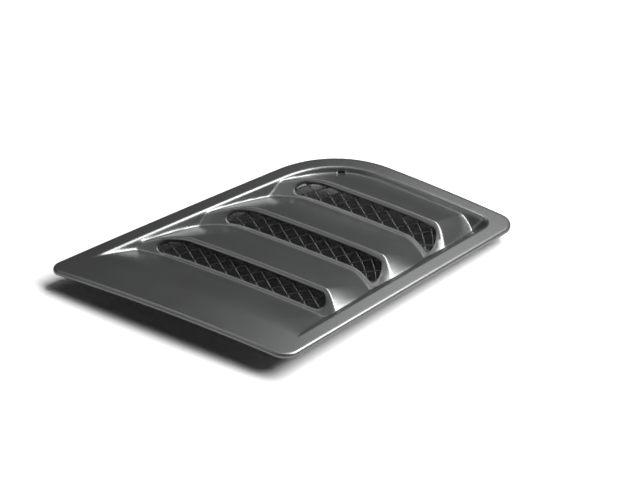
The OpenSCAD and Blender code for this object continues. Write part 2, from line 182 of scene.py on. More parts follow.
class BezelFinish(bpy.types.PropertyGroup):
    """Colours and gloss"""

    grey: tint(0.125, 0.127, 0.127, "Colour of the moulding")
    black: tint(0.01, 0.01, 0.0105, "Colour of the lattices")
    floor: tint(0.86, 0.86, 0.86, "Colour of the floor")
    satin: size(0.32, "Roughness of the moulding")
    lattice_gloss: size(0.3, "Roughness of the lattices")


class BezelStudio(bpy.types.PropertyGroup):
    """Camera and lights"""

    azimuth: size(30.0, "Direction of the camera, degrees")
    elevation: size(39.6, "Height of the camera, degrees")
    distance: size(2000.0, "From the camera to its target, mm")
    lens: size(112.5, "Focal length on a 36 mm sensor, mm")
    overhead: size(54.0, "Power of the overhead soft box, W")
    front_left: size(1.0, "Power of the front left soft box, W")
    left: size(4.0, "Power of the soft box on the left, W")
    front: size(3.0, "Power of the low soft box in front, W")
    behind: size(2.4, "Power of the soft box behind, W")
    world: size(0.02, "Strength of the surroundings")


GROUPS = {
    "bezel_outline": BezelOutline,
    "bezel_louvres": BezelLouvres,
    "bezel_lattice": BezelLattice,
    "bezel_fixings": BezelFixings,
    "bezel_finish": BezelFinish,
    "bezel_studio": BezelStudio,
}


# Plan geometry


def group(name):
    return getattr(bpy.context.scene, "bezel_" + name)


def outline():
    return group("outline")


def left_x(y):
    return y / math.tan(math.radians(outline().left_angle))


def right_x(y):
    o = outline()
    return o.front + y / math.tan(math.radians(o.right_angle))


def crown(x):
    o = outline()
    return -((x - o.crown_x) ** 2) / (2 * o.crown_radius)


def plan_corners():
    """Corner points, anticlockwise from the front left, with the outline's radii."""
    o = outline()
    rear = o.depth - o.rear_drop
    points = [(0, 0), (o.front, 0), (right_x(rear), rear), (left_x(o.depth), o.depth)]
    return np.array(points, float), [o.corner_fl, o.corner_fr, o.corner_rr, o.corner_rl]


def plan_sides():
    """Direction and inward normal of the side that follows each corner."""
    points, _ = plan_corners()
    along = np.roll(points, -1, axis=0) - points
    along /= np.linalg.norm(along, axis=1)[:, None]
    return along, np.stack([-along[:, 1], along[:, 0]], 1)


def cross2(a, b):
    return a[0] * b[1] - a[1] * b[0]


def arc_centres(insets, radii):
    """Centre of each rounded corner of the outline moved in by insets."""
    points, _ = plan_corners()
    along, inward = plan_sides()
    centres = []
    for k in range(4):
        j = (k + 3) % 4
        p = points[j] + inward[j] * (insets[j] + radii[k])
        q = points[k] + inward[k] * (insets[k] + radii[k])
        centres.append(p + along[j] * cross2(q - p, along[k]) / cross2(along[j], along[k]))
    return np.array(centres)


def ring(inset, spacing):
    """The outline moved in evenly by inset, as points about spacing apart."""
    _, inward = plan_sides()
    _, radii = plan_corners()
    radii = [max(r - inset, 0.8) for r in radii]
    centres = arc_centres([inset] * 4, radii)
    arcs = []
    for k in range(4):
        a = math.atan2(-inward[k - 1][1], -inward[k - 1][0])
        b = math.atan2(-inward[k][1], -inward[k][0])
        turn = (b - a) % (2 * math.pi)
        steps = max(4, math.ceil(radii[k] * turn / spacing), math.ceil(turn / 0.12))
        t = a + turn * np.linspace(0, 1, steps + 1)
        arcs.append(centres[k] + radii[k] * np.stack([np.cos(t), np.sin(t)], 1))
    points = []
    for k in range(4):
        start, end = arcs[k][-1], arcs[(k + 1) % 4][0]
        steps = max(1, round(np.linalg.norm(end - start) / spacing))
        side = start + (end - start) * np.linspace(0, 1, steps + 1)[1:-1, None]
        points += [arcs[k], side]
    return np.concatenate(points)


def corner_sector(p, k, centre):
    """How far points lie past the ends of corner k's arc, along both sides, and from its centre."""
    along, _ = plan_sides()
    d = p - centre
    return d @ along[k - 1], -(d @ along[k]), np.linalg.norm(d, axis=1)


def outward(p):
    """Unit vectors that point out of the outline at plan points near its edge."""
    points, radii = plan_corners()
    _, inward = plan_sides()
    depth = np.stack([(p - points[k]) @ inward[k] for k in range(4)], 1)
    out = -inward[np.argmin(depth, axis=1)]
    centres = arc_centres([0] * 4, radii)
    for k in range(4):
        a, b, r = corner_sector(p, k, centres[k])
        inside = (a > 1e-6) & (b > 1e-6)
        out[inside] = (p[inside] - centres[k]) / r[inside, None]
    return out


def side_insets(x, y):
    """How far points lie inside the flange at the right, the rear and the left."""
    o = outline()
    points, radii = plan_corners()
    _, inward = plan_sides()
    p = np.stack([x, y], 1)
    insets = np.stack([(p - points[k]) @ inward[k] - o.flange for k in (1, 2, 3)])
    radius = radii[3] - o.flange
    centre = arc_centres([0, o.flange, o.flange, o.flange], [0, 0, 0, radius])[3]
    a, b, r = corner_sector(p, 3, centre)
    rounded = (a > 0) & (b > 0)
    insets[1:, rounded] = (radius - r)[rounded]
    return insets


def wall_drafts():
    o = outline()
    return np.radians([o.right_draft, o.wall_draft, o.wall_draft])


def roll_end(draft):
    """How far in and how far down the roll ends and the drafted wall begins."""
    r, turn = outline().roll, math.pi / 2 - draft
    return r * math.sin(turn), r * (1 - math.cos(turn))


def wall_drop(inset, draft):
    """Drop of the rolled and drafted wall at a distance inside the flange's edge."""
    r = outline().roll
    reach, fallen = roll_end(draft)
    rolled = r - np.sqrt(np.maximum(r * r - np.clip(inset, 0, reach) ** 2, 0))
    return np.where(inset <= reach, rolled, fallen + (inset - reach) / math.tan(draft))


def wall_in(drop, draft):
    """How far inside the flange's edge the wall lies at each drop."""
    r = outline().roll
    reach, fallen = roll_end(draft)
    rolled = np.sqrt(np.maximum(r * r - (r - np.clip(drop, 0, fallen)) ** 2, 0))
    return np.where(drop < fallen, rolled, reach + (drop - fallen) * math.tan(draft))


def rear_right_inset(a, b, drop):
    """How far points, a and b inside the right and rear edges, lie inside the ring at a drop."""
    along, inward = plan_sides()
    drafts = wall_drafts()
    ia, ib = wall_in(drop, drafts[0]), wall_in(drop, drafts[1])
    r = np.maximum(outline().pocket_corner - ib, 1.0)
    a, b = a - ia, b - ib
    d = np.linalg.solve(inward[1:3], np.stack([a - r, b - r])).T
    rounded = (d @ along[1] > 0) & (d @ along[2] < 0)
    return np.where(rounded, r - np.linalg.norm(d, axis=1), np.minimum(a, b))


def pocket_wall(x, y):
    """How far points lie inside the flange's inner edge, and the drop of the wall there.

    Near the rear right corner the drop is found by halving, since the two walls' drafts differ.
    """
    corner, deepest, halvings = 45, 40.0, 18
    insets = side_insets(x, y)
    drop = np.min([wall_drop(inset, draft) for inset, draft in zip(insets, wall_drafts())], axis=0)
    inset = insets.min(axis=0)
    near = (insets[0] < corner) & (insets[1] < corner) & (inset > 0)
    a, b = insets[0][near], insets[1][near]
    low, high = np.zeros_like(a), np.full_like(a, deepest)
    for _ in range(halvings):
        middle = (low + high) / 2
        deeper = rear_right_inset(a, b, middle) > 0
        low, high = np.where(deeper, middle, low), np.where(deeper, high, middle)
    inset[near] = rear_right_inset(a, b, np.zeros_like(a))
    drop[near] = low
    return inset, drop


def back_drop(x, y):
    """Drop of the pocket wall's hidden face."""
    drops = []
    for inset, draft in zip(side_insets(x, y), wall_drafts()):
        reach, fallen = roll_end(draft)
        straight = fallen + (inset - reach) / math.tan(draft)
        drops.append(straight + outline().wall / math.sin(draft))
    return np.min(drops, axis=0)


# Louvres


# Sweeps, lifts and bends of the lips at their left and right ends, in millimetres
LIP_ENDS = {
    "lower_left": {"sweep": (8, 16.5, 15), "lift": (3, 0, 0), "inset": 19, "bend": 34},
    "upper_left": {"sweep": (22.5, 24, 19), "lift": (-9, -7, -7), "inset": 10, "bend": 48},
    "lower_right": {"sweep": (6, 15, 15), "lift": (-3,) * 3, "inset": (38, 66, 69), "bend": 30},
    "upper_right": {"sweep": (16,) * 3, "lift": (-11,) * 3, "inset": (49.5, 50.5, 53.5), "bend": 19},
}


def fade(t):
    power, limit = 1.6, 1.1
    return np.clip(t, 0, limit) ** power


def lip(i, x, level):
    """Place and height above the crown of louvre i's lower or upper lip at x."""
    v = group("louvres")
    left, right = LIP_ENDS[level + "_left"], LIP_ENDS[level + "_right"]
    y = v.first + i * v.pitch + (v.run if level == "upper" else 0)
    z = -v.drop + (v.rise if level == "upper" else 0)
    a = fade((left_x(y) + left["inset"] + left["bend"] - x) / left["bend"])
    b = fade((x - right_x(y) + right["inset"][i]) / right["bend"])
    sweep = left["sweep"][i] * a + right["sweep"][i] * b
    return y - sweep, z + left["lift"][i] * a + right["lift"][i] * b


def riser_y(i):
    v = group("louvres")
    return v.first + i * v.pitch + v.run / 2


def slot_ends(i):
    v = group("louvres")
    return left_x(riser_y(i)) + v.slot_left, right_x(riser_y(i)) - v.slot_right


# The louvres' sections run along columns that lean with the sides: near a side a column keeps its
# distance from it, and the ones between them spread evenly. A column has one number all along.
LEFT_SPAN, RIGHT_SPAN, MIDDLE = 70.0, 72.0, 100.0


def column_x(column, y):
    a, b = left_x(y) + LEFT_SPAN, right_x(y) - RIGHT_SPAN
    middle = a + (b - a) * (column - LEFT_SPAN) / MIDDLE
    right = b + column - LEFT_SPAN - MIDDLE
    inner = np.where(column < LEFT_SPAN + MIDDLE, middle, right)
    return np.where(column < LEFT_SPAN, left_x(y) + column, inner)


def column_at(x, y):
    a, b = left_x(y) + LEFT_SPAN, right_x(y) - RIGHT_SPAN
    middle = LEFT_SPAN + (x - a) / (b - a) * MIDDLE
    right = x - b + LEFT_SPAN + MIDDLE
    return np.where(x < a, x - left_x(y), np.where(x < b, middle, right))


def section(column):
    """Section of the louvres along each column, from front to rear, as arrays of x, y and height."""
    v = group("louvres")
    o = outline()
    ramp_steps, blade_steps = 16, 8
    foot = column_x(column, 0)
    at = [column_x(column, riser_y(i)) for i in LOUVRES]
    low = [(at[i], *lip(i, at[i], "lower")) for i in LOUVRES]
    up = [(at[i], *lip(i, at[i], "upper")) for i in LOUVRES]
    rows = [(foot, np.full_like(foot, -6.0), np.zeros_like(foot))]
    for k in range(ramp_steps + 1):
        t = k / ramp_steps
        x = foot + (low[0][0] - foot) * t
        rows.append((x, v.ramp + (low[0][1] - v.ramp) * t, low[0][2] * t**v.ramp_curve))
    rear_y = np.full_like(foot, o.depth + 6)
    rear = (column_x(column, o.depth), rear_y, up[2][2] - v.fall * (rear_y - up[2][1]))
    for start, end in zip(up, (low[1], low[2], rear)):
        rows.append(start)
        for k in range(1, blade_steps + 1):
            t = k / blade_steps
            x, y, z = (a + (b - a) * t for a, b in zip(start, end))
            rows.append((x, y, z + v.swell * 4 * t * (1 - t)))
    return tuple(np.stack(values, 1) for values in zip(*rows))


def sunk(ys, zs, t):
    """The same section moved down into the skin by t."""
    dy, dz = np.diff(ys, axis=1), np.diff(zs, axis=1)
    length = np.hypot(dy, dz)
    ny, nz = -dz / length, dy / length
    ay, az = np.hstack([ny[:, :1], ny]), np.hstack([nz[:, :1], nz])
    by, bz = np.hstack([ny, ny[:, -1:]]), np.hstack([nz, nz[:, -1:]])
    scale = t / (1 + ay * by + az * bz)
    return ys - scale * (ay + by), zs - scale * (az + bz)


def place_in(ys, y):
    """The section's stretch that holds each y, and how far along it y lies."""
    k = np.clip((ys <= y[:, None]).sum(1) - 1, 0, ys.shape[1] - 2)
    rows = np.arange(len(y))
    a, b = ys[rows, k], ys[rows, k + 1]
    return rows, k, np.clip((y - a) / (b - a), 0, 1)


def along_section(values, rows, k, t):
    return values[rows, k] + (values[rows, k + 1] - values[rows, k]) * t


def section_through(x, y):
    """The section along the column that passes through each plan point."""
    guess = np.array(x, float)
    for _ in range(3):
        xs, ys, _ = section(column_at(guess, y))
        guess = guess + x - along_section(xs, *place_in(ys, y))
    return section(column_at(guess, y))


def louvre_height(x, y, t=0.0):
    _, ys, zs = section_through(x, y)
    if t:
        ys, zs = sunk(ys, zs, t)
    return along_section(zs, *place_in(ys, y)) + crown(x)


def sharp_height(x, y):
    """Height of the visible face, with its creases sharp."""
    inset, drop = pocket_wall(x, y)
    return np.where(inset > 0, np.maximum(louvre_height(x, y), crown(x) - drop), crown(x))


def face_height(x, y):
    """Height of the visible face, averaged over two rings of points to fillet lips and creases."""
    reach = outline().crease
    total, weight = sharp_height(x, y) * 2, 2.0
    for radius, count, share in ((0.5, 6, 1.0), (1.0, 8, 0.6)):
        for k in range(count):
            a = 2 * math.pi * (k + 0.5 * (radius < 1)) / count
            dx, dy = radius * reach * math.cos(a), radius * reach * math.sin(a)
            total += share * sharp_height(x + dx, y + dy)
            weight += share
    return total / weight


def back_height(x, y):
    """Height of the hidden face."""
    wall, under_flange = outline().wall, 8
    inner = np.maximum(louvre_height(x, y, wall), crown(x) - back_drop(x, y))
    inset = side_insets(x, y).min(axis=0)
    return np.where(inset > under_flange, inner, np.minimum(crown(x) - wall, inner))


def back_shift(x, y):
    """Where each plan point's partner on the hidden face lies, straight through the skin."""
    start, width = 10, 6
    inset = side_insets(x, y).min(axis=0)
    _, ys, zs = section_through(x, y)
    back, _ = sunk(ys, zs, outline().wall)
    moved = along_section(back, *place_in(ys, y))
    return y + (moved - y) * np.clip((inset - start) / width, 0, 1)


def riser(i, x):
    """Lower lip of riser i at x, the depth and height from it to the upper lip, and their length."""
    ya, za = lip(i, x, "lower")
    yb, zb = lip(i, x, "upper")
    return ya, za, yb - ya, zb - za, np.hypot(yb - ya, zb - za)


def on_riser(i, x, s, n):
    """Points on riser i at x, s up from the middle of its slot and n out of its face."""
    v = group("louvres")
    ya, za, dy, dz, length = riser(i, x)
    uy, uz = dy / length, dz / length
    mid = (v.slot_low + v.slot_high) / 2
    y = ya + dy * mid + uy * s - uz * n
    z = za + dz * mid + uz * s + uy * n
    return np.stack([x, y, z + crown(x)], 1)


def riser_length(i, x):
    return riser(i, x)[-1]


def middle_length(i):
    """Length of riser i at the middle of its slot."""
    return float(riser_length(i, np.array([sum(slot_ends(i)) / 2]))[0])


def band_outline(i, grow, spacing):
    """Loop of x and s round the slot of riser i, grown by grow."""
    v = group("louvres")
    x0, x1 = slot_ends(i)
    x0, x1, r = x0 - grow, x1 + grow, v.slot_end + grow
    turns = np.radians(np.linspace(0, 90, 11)[:-1])
    bend = r * (1 - np.cos(turns))
    steps = round((x1 - x0 - 2 * r) / spacing)
    xs = np.concatenate([x0 + bend, np.linspace(x0 + r, x1 - r, steps + 1), (x1 - bend)[::-1]])
    full = np.concatenate([np.sin(turns), np.ones(steps + 1), np.sin(turns)[::-1]])
    half = riser_length(i, xs) * (v.slot_high - v.slot_low) / 2 + grow
    lower = np.stack([xs, -half * full], 1)
    upper = np.stack([xs, half * full], 1)[::-1]
    return np.concatenate([lower, upper[1:-1]])


def drain_loop():
    """Loop in plan round the drain window in the rear left wall."""
    o = outline()
    f = group("fixings")
    radius = o.corner_rl - o.flange
    centre = arc_centres([0, o.flange, o.flange, o.flange], [0, 0, o.pocket_corner, radius])[3]
    angle = math.radians(f.drain_angle)
    out = np.array([math.cos(angle), math.sin(angle)])
    across = np.array([-out[1], out[0]])
    drops = (f.drain_drop + f.drain_height, f.drain_drop)
    low, high = (radius - float(wall_in(drop, math.radians(o.wall_draft))) for drop in drops)
    half, soft = f.drain_length / 2, 0.3
    corners = [(-half, low), (half, low), (half, high), (-half, high)]
    points = []
    for k, (t, r) in enumerate(corners):
        along, up = (1 if t < 0 else -1) * soft, (1 if r == low else -1) * soft
        pair = [(t, r + up), (t + along, r)]
        points += pair if k in (0, 2) else pair[::-1]
    side = np.linspace(-half + 2 * soft, half - 2 * soft, 9)
    lower, upper = [(t, low) for t in side], [(t, high) for t in side[::-1]]
    loop = np.array(points[:2] + lower + points[2:6] + upper + points[6:])
    return centre + loop[:, :1] * across + loop[:, 1:] * out


# Meshes


def drawing_move():
    """From the drawing to the frame, in millimetres."""
    f = group("fixings")
    edge = ring(0, 4.0)
    return np.array([
        SHELL_LOW.x / MM - edge[:, 0].min(),
        SHELL_LOW.y / MM - edge[:, 1].min(),
        SHELL_LOW.z / MM + f.pin_end,
    ])


def to_frame(points):
    return (np.asarray(points) + drawing_move()) * MM


def coordinates(bm):
    return np.array([v.co for v in bm.verts], float).reshape(-1, 3)


def place_verts(bm, points):
    for vert, point in zip(bm.verts, points):
        vert.co = point


def new_object(bm, name, finish):
    """Object of a finished bmesh, with its material."""
    mesh = bpy.data.meshes.new(name)
    bm.to_mesh(mesh)
    bm.free()
    made = bpy.data.objects.new(name, mesh)
    bpy.context.scene.collection.objects.link(made)
    label, make = FINISHES[finish]
    mesh.materials.append(bpy.data.materials.get(label) or make(label))
    return made


def thicken(bm, faces, vec):
    """Extrudes the faces and keeps them, so that they close a solid."""
    made = bmesh.ops.extrude_face_region(bm, geom=faces, use_keep_orig=True)["geom"]
    moved = [g for g in made if isinstance(g, bmesh.types.BMVert)]
    bmesh.ops.translate(bm, verts=moved, vec=vec)


def finish_piece(bm, name, slot, replaces=(), smooth=True):
    """Makes the piece's object, rides it on the frame and names its slot."""
    for face in bm.faces:
        face.smooth = smooth
    piece = new_object(bm, name, slot)
    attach(piece, "root")
    if replaces:
        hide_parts(*replaces)
    return piece


def inside_loop(points, loop):
    """Which plan points lie inside a closed loop."""
    inside = np.zeros(len(points), bool)
    a, b = loop, np.roll(loop, -1, axis=0)
    for (xa, ya), (xb, yb) in zip(a, b):
        crosses = (ya > points[:, 1]) != (yb > points[:, 1])
        if ya != yb:
            at = (xb - xa) * (points[:, 1] - ya) / (yb - ya) + xa
            inside ^= crosses & (points[:, 0] < at)
    return inside


def thin_out(points, kept, spacing):
    """The points that lie no nearer than spacing to a kept one, on a coarse grid of cells."""
    taken = set()
    for x, y in kept:
        cx, cy = int(x // spacing), int(y // spacing)
        taken.update((cx + i, cy + j) for i in (-1, 0, 1) for j in (-1, 0, 1))
    cells = (points // spacing).astype(int)
    free = [tuple(c) not in taken for c in cells]
    return points[np.array(free, bool)]


def sheet_rings():
    """Rows of points that follow the flange, its roll and the pocket walls."""
    o = outline()
    roll = o.flange + o.roll * np.sin(np.radians(np.arange(0, 64, 9)))
    insets = [o.edge_radius + 2.5, o.edge_radius + 6, o.flange - 3.0, o.flange - 1.0]
    insets += list(roll) + list(o.flange + np.arange(4.2, 15, 1.1))
    rows = [ring(inset, SPACING) for inset in insets]
    points = np.concatenate(rows)
    front = group("louvres").ramp - 12
    outer_rows = np.arange(len(points)) < len(rows[0]) * 3
    return points[(points[:, 1] > front) | outer_rows]


def louvre_rows():
    """Rows of points along the lips and over the ramp and blades."""
    o = outline()
    v = group("louvres")
    x = np.arange(0, right_x(o.depth), SPACING)
    beside_lip = (-2.2, -1.4, -0.8, -0.3, 0.3, 0.8, 1.4, 2.2)
    row_step, front = 4.2, 18
    rows = []
    lips = [lip(i, x, level)[0] for i in LOUVRES for level in ("lower", "upper")]
    bounds = [np.full_like(x, v.ramp)] + lips + [np.full_like(x, o.depth)]
    for line in lips:
        rows += [line + e for e in beside_lip]
    for a, b in zip(bounds, bounds[1:]):
        steps = max(2, round((float(np.median(b - a)) - 5) / row_step))
        rows += [a + SPACING + (b - a - 2 * SPACING) * t for t in np.linspace(0, 1, steps + 1)]
    rows += [np.full_like(x, y) for y in np.arange(20, v.ramp + 1, 5)]
    points = np.concatenate([np.stack([x, row], 1) for row in rows])
    return points[(pocket_wall(*points.T)[0] > -1) & (points[:, 1] > front)]


def skin_sheet():
    """Flat sheet of triangles in plan: the boundary, the slots' loops and the rows inside."""
    o = outline()
    v = group("louvres")
    boundary = ring(o.edge_radius, SPACING)
    loops, marks = [boundary], [0]
    for i in LOUVRES:
        for mark, grow in ((0, v.rim), (i + 1, 0.0)):
            band = band_outline(i, grow, SPACING)
            loops.append(on_riser(i, band[:, 0], band[:, 1], np.zeros(len(band)))[:, :2])
            marks.append(mark)
    loops.append(drain_loop())
    marks.append(len(LOUVRES) + 1)
    kept = np.concatenate(loops)
    wall_start, wall_end = 3, 15.0
    rings = thin_out(sheet_rings(), kept, 0.7)
    rows = thin_out(louvre_rows(), kept, 0.9)
    rows = rows[pocket_wall(*rows.T)[0] > wall_end]
    wall_rows = thin_out(louvre_rows(), np.concatenate([kept, rings]), 1.0)
    inset, _ = pocket_wall(*wall_rows.T)
    wall_rows = wall_rows[(inset > wall_start) & (inset <= wall_end)]
    points = np.concatenate([kept, rings, rows, wall_rows])
    edges, start = [], 0
    for loop in loops:
        n = len(loop)
        edges += [(start + k, start + (k + 1) % n) for k in range(n)]
        start += n
    made = delaunay_2d_cdt([Vector(p) for p in points], edges, [], 1, 1e-5)
    verts, faces, origins = np.array(made[0]), made[2], made[3]
    centres = np.array([verts[list(f)].mean(0) for f in faces])
    hole = np.zeros(len(faces), bool)
    for loop, mark in zip(loops, marks):
        if mark:
            hole |= inside_loop(centres, loop)
    mark_of = np.concatenate([np.full(len(loop), mark) for loop, mark in zip(loops, marks)])
    vert_mark = [max((mark_of[k] for k in origin if k < len(mark_of)), default=0) for origin in origins]
    return verts, [f for f, cut in zip(faces, hole) if not cut], vert_mark


def skin_mesh():
    """The moulding: one closed skin with its turned down edge, pocket, louvres and slots."""
    verts, faces, vert_mark = skin_sheet()
    bm = bmesh.new()
    mark = bm.verts.layers.int.new("mark")
    made = [bm.verts.new((x, y, 0)) for x, y in verts]
    for vert, m in zip(made, vert_mark):
        vert[mark] = int(m)
    for f in faces:
        bm.faces.new([made[k] for k in f])
    loose = [vert for vert in bm.verts if not vert.link_faces]
    bmesh.ops.delete(bm, geom=loose, context="VERTS")
    thicken(bm, list(bm.faces), (0, 0, -1))
    rim = edge_profile()
    upright = [
        e for e in bm.edges
        if abs(e.verts[0].co.z - e.verts[1].co.z) > 0.5 and not any(vert[mark] for vert in e.verts)
    ]
    bmesh.ops.subdivide_edges(bm, edges=upright, cuts=len(rim), use_grid_fill=True)
    flat = coordinates(bm)
    marks = np.array([vert[mark] for vert in bm.verts])
    points = to_frame(skin_points(flat, marks, rim))
    place_verts(bm, np.clip(points, SHELL_LOW, SHELL_HIGH))
    bmesh.ops.recalc_face_normals(bm, faces=bm.faces)
    return bm


def edge_profile():
    """Inset and drop of the rows over the outer edge, from the top to the inside."""
    o = outline()
    turns = [math.radians(a) for a in (75, 60, 45, 30, 15, 0)]
    over = [(o.edge_radius * (1 - math.cos(a)), o.edge_radius * (1 - math.sin(a))) for a in turns]
    soft = 0.5
    under = [
        (0, o.edge_height - soft), (soft * 0.3, o.edge_height - soft * 0.3), (soft, o.edge_height),
        (o.wall - soft, o.edge_height), (o.wall, o.edge_height - soft),
    ]
    return over + under


def skin_points(flat, marks, rim):
    """Places on the drawing of the sheet's vertices, from their plan and their layer."""
    v = group("louvres")
    x, y, layer = flat[:, 0], flat[:, 1], flat[:, 2]
    out = np.zeros_like(flat)
    top, low = layer > -1e-4, layer < -1 + 1e-4
    out[top] = np.stack([x[top], y[top], face_height(x[top], y[top])], 1)
    moved = back_shift(x[low], y[low])
    out[low] = np.stack([x[low], moved, back_height(x[low], moved)], 1)
    for i in LOUVRES:
        edge = top & (marks == i + 1)
        _, _, dy, dz, length = riser(i, x[edge])
        out[edge, 1] += v.rim * 0.6 * dz / length
        out[edge, 2] -= v.rim * 0.6 * dy / length
    side = ~top & ~low
    step = np.clip(np.round(-layer[side] * (len(rim) + 1)).astype(int) - 1, 0, len(rim) - 1)
    profile = np.array(rim)[step]
    plan = flat[side, :2]
    plan = plan + outward(plan) * (outline().edge_radius - profile[:, :1])
    out[side, :2] = plan
    out[side, 2] = crown(x[side]) - profile[:, 1]
    return out


def lattice_flat(i):
    """Cells of the lattice in x and s, each a tube frame round its diamond."""
    g = group("lattice")
    x0, x1 = slot_ends(i)
    mid = (x0 + x1) / 2
    half_x, half_s = g.length / 2, g.height / 2
    bm = bmesh.new()
    columns = math.ceil((x1 - x0) / 2 / half_x) + 2
    for row in range(-2, 3):
        for k in range(-columns, columns + 1):
            if (row + k) % 2:
                continue
            lattice_cell(bm, mid + k * half_x, row * half_s)
    bmesh.ops.remove_doubles(bm, verts=bm.verts, dist=0.01)
    return bm


def lattice_cell(bm, x, s):
    """Half strands round one diamond: rows from the strands' middle to the opening and back."""
    g = group("lattice")
    half_x, half_s = g.length / 2, g.height / 2
    slope = math.atan2(half_s, half_x)
    cut_x, cut_s = g.strand / 2 / math.sin(slope), g.strand / 2 / math.cos(slope)
    steps = 4
    rows = [(0, 0.0), (0.45, 0.12), (0.8, 0.42), (1, 0.95)]
    rows += [(1, g.thick - 0.7), (0.6, g.thick - 0.12), (0, g.thick)]
    loops = []
    for share, depth in rows:
        ax, as_ = half_x - cut_x * share, half_s - cut_s * share
        corners = [(ax, 0), (0, as_), (-ax, 0), (0, -as_)]
        loop = []
        for c in range(4):
            (xa, sa), (xb, sb) = corners[c], corners[(c + 1) % 4]
            for t in range(steps):
                f = t / steps
                loop.append(bm.verts.new((x + xa + (xb - xa) * f, s + sa + (sb - sa) * f, -depth)))
        loops.append(loop)
    for a, b in zip(loops, loops[1:]):
        for k in range(len(a)):
            j = (k + 1) % len(a)
            bm.faces.new((a[k], a[j], b[j], b[k]))


def lattice_mesh(i):
    """One lattice: strands clipped to the slot's band, and a rim with tabs round it."""
    v = group("louvres")
    g = group("lattice")
    x0, x1 = slot_ends(i)
    bm = lattice_flat(i)
    reach = (v.slot_high - v.slot_low) / 2 * middle_length(i) + 1.2
    clips = [
        ((x0 - 2, 0, 0), (-1, 0, 0)), ((x1 + 2, 0, 0), (1, 0, 0)),
        ((0, reach, 0), (0, 1, 0)), ((0, -reach, 0), (0, -1, 0)),
    ]
    for point, normal in clips:
        bmesh.ops.bisect_plane(
            bm, geom=bm.verts[:] + bm.edges[:] + bm.faces[:], dist=1e-4,
            plane_co=point, plane_no=normal, clear_outer=True,
        )
    flat = coordinates(bm)
    wall = outline().wall
    length = riser_length(i, flat[:, 0])
    points = on_riser(i, flat[:, 0], flat[:, 1] * length / middle_length(i), flat[:, 2] - wall - g.gap)
    place_verts(bm, to_frame(points))
    rim = rim_mesh(i)
    mesh = bpy.data.meshes.new("rim")
    rim.to_mesh(mesh)
    rim.free()
    bm.from_mesh(mesh)
    bpy.data.meshes.remove(mesh)
    return bm


def rim_mesh(i):
    """Flat frame round the slot behind the riser, with tabs at both ends."""
    v = group("louvres")
    g = group("lattice")
    x0, x1 = slot_ends(i)
    inner = band_outline(i, 0.9, SPACING)
    bm = bmesh.new()
    inside = [bm.verts.new((x, s, 0)) for x, s in inner]
    outside = []
    tab = g.tab - 1
    for x, s in inner:
        side = 1 if s > 0 else -1
        if x < x0 + v.slot_end:
            t = (x0 + v.slot_end - x) / (v.slot_end + 0.9)
            x = x - tab * t**0.8
        if x > x1 - v.slot_end:
            t = (x - x1 + v.slot_end) / (v.slot_end + 0.9)
            x = x + tab * t**0.8
        length = float(riser_length(i, np.array([x]))[0])
        half = length * ((v.slot_high - v.slot_low) / 2 + g.rim_share) - 0.1
        fall = min(1.0, max(0.0, (abs(s) / half) * 3))
        outside.append(bm.verts.new((x, side * half * fall, 0)))
    n = len(inner)
    for k in range(n):
        j = (k + 1) % n
        bm.faces.new((inside[k], inside[j], outside[j], outside[k]))
    bmesh.ops.recalc_face_normals(bm, faces=bm.faces)
    thicken(bm, list(bm.faces), (0, 0, 0.1 - g.thick))
    bmesh.ops.recalc_face_normals(bm, faces=bm.faces)
    flat = coordinates(bm)
    wall = outline().wall
    points = on_riser(i, flat[:, 0], flat[:, 1], flat[:, 2] - wall - g.gap - 0.05)
    place_verts(bm, to_frame(points))
    return bm


def turned(bm, profile, at, matrix=None, steps=40):
    """Adds a solid of revolution to bm: profile is radius and height, in millimetres."""
    verts = [bm.verts.new((r, 0, z)) for r, z in profile]
    edges = [bm.edges.new(pair) for pair in zip(verts, verts[1:])]
    bmesh.ops.spin(
        bm, geom=verts + edges, cent=(0, 0, 0), axis=(0, 0, 1),
        angle=2 * math.pi, steps=steps, use_merge=True,
    )
    new = {v for f in bm.faces for v in f.verts if not f.tag}
    for f in bm.faces:
        f.tag = True
    bmesh.ops.remove_doubles(bm, verts=list(new), dist=1e-4)
    new = [v for v in new if v.is_valid]
    if matrix is not None:
        bmesh.ops.transform(bm, matrix=matrix, verts=new)
    bmesh.ops.translate(bm, verts=new, vec=at)


def scaled_to_frame(bm):
    place_verts(bm, to_frame(coordinates(bm)))
    bmesh.ops.recalc_face_normals(bm, faces=bm.faces)
    return bm


# Places along the width of the posts that no side carries, in millimetres
FRONT_TOWERS_X, REAR_TOWERS_X = (46, 244), (205, 345)
FRONT_PINS_X, REAR_PINS_X = (76, 246), (240, 312)


def tower_places():
    f = group("fixings")
    o = outline()
    side = f.side_y
    rear = o.depth - f.rear_in
    left = left_x(side) + f.side_in / math.sin(math.radians(o.left_angle))
    right = right_x(side) - f.side_in / math.sin(math.radians(o.right_angle))
    front = [(x, f.front_y) for x in FRONT_TOWERS_X]
    return front + [(left, side), (right, side)] + [(x, rear) for x in REAR_TOWERS_X]


def pin_places():
    f = group("fixings")
    rear = outline().depth - f.rear_in
    return [(x, f.pin_y) for x in FRONT_PINS_X] + [(x, rear) for x in REAR_PINS_X]


# Finishes


def node(tree, kind, place, **values):
    made = tree.nodes.new(kind)
    made.location = place
    for name, value in values.items():
        made.inputs[name.replace("_", " ")].default_value = value
    return made


def new_material(name):
    material = bpy.data.materials.new(name)
    material.use_nodes = True
    tree = material.node_tree
    shader = tree.nodes["Principled BSDF"]
    coords = node(tree, "ShaderNodeTexCoord", (-1200, 0))
    return material, tree, shader, coords.outputs["Object"]


def noise(tree, source, place, scale, detail):
    made = node(tree, "ShaderNodeTexNoise", place, Scale=scale, Detail=detail)
    tree.links.new(source, made.inputs["Vector"])
    return made.outputs["Fac"]


